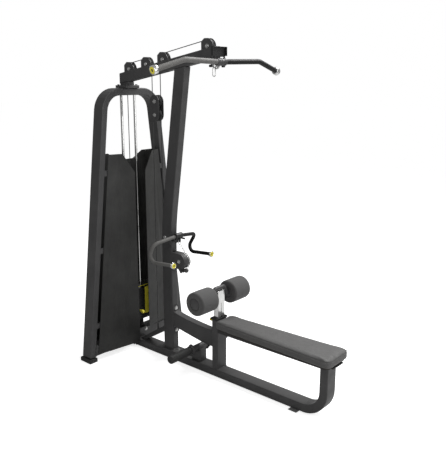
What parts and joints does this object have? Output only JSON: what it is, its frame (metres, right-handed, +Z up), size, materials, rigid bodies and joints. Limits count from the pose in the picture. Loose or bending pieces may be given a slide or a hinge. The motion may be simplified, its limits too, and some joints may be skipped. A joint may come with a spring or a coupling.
{
  "type": "lat pulldown machine",
  "caption": "Lat pulldown and low row machine: cable and pulleys on a boom, shrouded weight stack, thigh hold-down, long bench and footrest.",
  "frame": {"origin": "on the floor, at the middle of the machine's length and width", "axes": "+X runs from the weight tower to the outer end of the bench, +Y to the machine's left seen from the bench, +Z up"},
  "size_m": [1.9637, 1.2454, 2.3825],
  "materials": {
    "frame_paint": "charcoal powder coat, fine texture, satin",
    "black_steel": "black powder coat, satin",
    "shroud_paint": "dark charcoal powder coat on sheet steel",
    "chrome": "bright chrome plate",
    "bright_steel": "zinc-plated or turned steel",
    "stack_iron": "black painted cast iron",
    "rubber": "moulded black rubber",
    "pulley_nylon": "turned black nylon",
    "cable_sheath": "grey-black nylon sheath",
    "seat_vinyl": "dark grey upholstery vinyl, fine grain",
    "roller_foam": "closed-cell foam with a matte skin",
    "plywood": "dark stained plywood board",
    "grip_rubber": "grey grip coat over steel tube",
    "yellow_plastic": "yellow moulded plastic"
  },
  "bodies": {
    "frame": {"tower_frame": "frame_paint", "base_cross_tube": "frame_paint", "tower_foot_near": "rubber", "tower_foot_far": "rubber", "boom_mount": "frame_paint", "guide_rod_near": "chrome", "guide_rod_far": "chrome", "stack_bumpers": "rubber", "front_shroud_near": "shroud_paint", "front_shroud_far": "shroud_paint", "rear_shroud": "shroud_paint", "boom": "frame_paint", "bar_holder": "black_steel", "pulley_cover_1": "frame_paint", "pulley_cover_2": "frame_paint", "pulley_cover_3": "frame_paint", "pulley_cover_4": "frame_paint", "base_rail": "frame_paint", "front_floor_pad": "rubber", "upright": "frame_paint", "rear_brace": "frame_paint", "seat_beam": "frame_paint", "front_post": "frame_paint", "post_collar": "rubber", "footrest_frame": "frame_paint", "seat_support": "black_steel", "seat_board": "plywood", "seat_pad": "seat_vinyl", "row_pulley_cover": "frame_paint", "handle_rest": "black_steel", "weight_plates_resting": "stack_iron", "lat_cable": "cable_sheath", "row_cable": "cable_sheath"},
    "stack": {"weight_plates_lifted": "stack_iron", "top_plate": "bright_steel"},
    "selector_pin": {"selector_pin": "yellow_plastic"},
    "lat_clip": {"lat_clip": "bright_steel"},
    "lat_bar": {"lat_bar": "grip_rubber", "lat_bar_cap_near": "chrome", "lat_bar_cap_far": "chrome"},
    "boom_pulley_1": {"boom_pulley_1": "pulley_nylon"},
    "boom_pulley_2": {"boom_pulley_2": "pulley_nylon"},
    "boom_pulley_3": {"boom_pulley_3": "pulley_nylon"},
    "boom_pulley_4": {"boom_pulley_4": "pulley_nylon"},
    "block": {"block_frame": "frame_paint"},
    "block_pulley_upper": {"block_pulley_upper": "pulley_nylon"},
    "block_pulley_lower": {"block_pulley_lower": "pulley_nylon"},
    "row_clip": {"row_clip": "bright_steel"},
    "row_handle": {"row_handle": "grip_rubber", "row_handle_cap_near": "chrome", "row_handle_cap_far": "chrome"},
    "transfer_pulley": {"transfer_pulley": "pulley_nylon"},
    "row_pulley": {"row_pulley": "pulley_nylon"},
    "thigh_support": {"thigh_post": "chrome", "thigh_yoke": "frame_paint"},
    "thigh_roller_near": {"thigh_roller_near": "roller_foam"},
    "thigh_roller_far": {"thigh_roller_far": "roller_foam"},
    "pop_pin": {"pop_pin": "yellow_plastic"},
    "foot_sleeve_near": {"foot_sleeve_near": "rubber"},
    "foot_sleeve_far": {"foot_sleeve_far": "rubber"}
  },
  "joints": [
    {"name": "stack_lift", "type": "slide", "parent": "frame", "child": "stack", "axis": [0, 0, 1], "range_m": [0, 0.9], "deforming": ["lat_cable"]},
    {"name": "selector_pin_pull", "type": "slide", "parent": "stack", "child": "selector_pin", "axis": [1, 0, 0], "range_m": [0, 0.1]},
    {"name": "lat_pull", "type": "slide", "parent": "frame", "child": "lat_clip", "axis": [0, 0, -1], "range_m": [0, 0.9]},
    {"name": "lat_bar_tilt", "type": "hinge", "parent": "lat_clip", "child": "lat_bar", "pos_m": [-0.022, 0, 2.197], "axis": [1, 0, 0], "range_deg": [-5, 5]},
    {"name": "boom_pulley_1_spin", "type": "hinge", "parent": "frame", "child": "boom_pulley_1", "pos_m": [-0.8784, 0, 2.19], "axis": [0, 1, 0], "range_deg": [0, 1202]},
    {"name": "boom_pulley_2_spin", "type": "hinge", "parent": "frame", "child": "boom_pulley_2", "pos_m": [-0.692, 0, 2.222], "axis": [0, 1, 0], "range_deg": [0, 1202]},
    {"name": "boom_pulley_3_spin", "type": "hinge", "parent": "frame", "child": "boom_pulley_3", "pos_m": [-0.52, 0, 2.253], "axis": [0, 1, 0], "range_deg": [0, 1202]},
    {"name": "boom_pulley_4_spin", "type": "hinge", "parent": "frame", "child": "boom_pulley_4", "pos_m": [-0.097, 0, 2.331], "axis": [0, 1, 0], "range_deg": [0, 1202]},
    {"name": "block_slide", "type": "slide", "parent": "frame", "child": "block", "axis": [0, 0, -1], "range_m": [0, 0.3]},
    {"name": "block_pulley_upper_spin", "type": "hinge", "parent": "block", "child": "block_pulley_upper", "pos_m": [-0.606, 0, 1.961], "axis": [0, 1, 0], "range_deg": [-1202, 0]},
    {"name": "block_pulley_lower_spin", "type": "hinge", "parent": "block", "child": "block_pulley_lower", "pos_m": [-0.606, 0, 1.866], "axis": [0, 1, 0], "range_deg": [0, 402]},
    {"name": "row_pull", "type": "slide", "parent": "frame", "child": "row_clip", "axis": [1, 0, 0], "range_m": [0, 0.6], "stiffness_N_per_m": 30, "springref_m": -1, "deforming": ["row_cable"]},
    {"name": "row_handle_swing", "type": "hinge", "parent": "row_clip", "child": "row_handle", "pos_m": [-0.4, 0, 0.956], "axis": [0, 1, 0], "range_deg": [0, 25]},
    {"name": "transfer_pulley_spin", "type": "hinge", "parent": "frame", "child": "transfer_pulley", "pos_m": [-0.52, 0, 0.966], "axis": [0, 1, 0], "range_deg": [-802, 0]},
    {"name": "row_pulley_spin", "type": "hinge", "parent": "frame", "child": "row_pulley", "pos_m": [-0.377, 0, 0.802], "axis": [0, 1, 0], "range_deg": [-690, 0]},
    {"name": "thigh_height", "type": "slide", "parent": "frame", "child": "thigh_support", "axis": [0, 0, 1], "range_m": [-0.03, 0.09]},
    {"name": "thigh_roller_near_spin", "type": "hinge", "parent": "thigh_support", "child": "thigh_roller_near", "pos_m": [-0.008, -0.1735, 0.62], "axis": [0, 1, 0], "continuous": true},
    {"name": "thigh_roller_far_spin", "type": "hinge", "parent": "thigh_support", "child": "thigh_roller_far", "pos_m": [-0.008, 0.1735, 0.62], "axis": [0, 1, 0], "continuous": true},
    {"name": "pop_pin_pull", "type": "slide", "parent": "frame", "child": "pop_pin", "axis": [-1, 0, 0], "range_m": [0, 0.009], "stiffness_N_per_m": 400},
    {"name": "foot_sleeve_near_spin", "type": "hinge", "parent": "frame", "child": "foot_sleeve_near", "pos_m": [-0.21, -0.206, 0.165], "axis": [0, 1, 0], "continuous": true},
    {"name": "foot_sleeve_far_spin", "type": "hinge", "parent": "frame", "child": "foot_sleeve_far", "pos_m": [-0.21, 0.206, 0.165], "axis": [0, 1, 0], "continuous": true}
  ],
  "couplings": [
    {"joint": "lat_pull", "follows": "stack_lift", "ratio": 1},
    {"joint": "boom_pulley_1_spin", "follows": "stack_lift", "rad_per_m": 23.256},
    {"joint": "boom_pulley_2_spin", "follows": "stack_lift", "rad_per_m": 23.256},
    {"joint": "boom_pulley_3_spin", "follows": "stack_lift", "rad_per_m": 23.256},
    {"joint": "boom_pulley_4_spin", "follows": "stack_lift", "rad_per_m": 23.256},
    {"joint": "block_pulley_upper_spin", "follows": "stack_lift", "rad_per_m": -23.256},
    {"joint": "block_slide", "follows": "row_pull", "ratio": 0.5},
    {"joint": "block_pulley_lower_spin", "follows": "row_pull", "rad_per_m": 11.628},
    {"joint": "transfer_pulley_spin", "follows": "row_pull", "rad_per_m": -23.256},
    {"joint": "row_pulley_spin", "follows": "row_pull", "rad_per_m": -20}
  ]
}
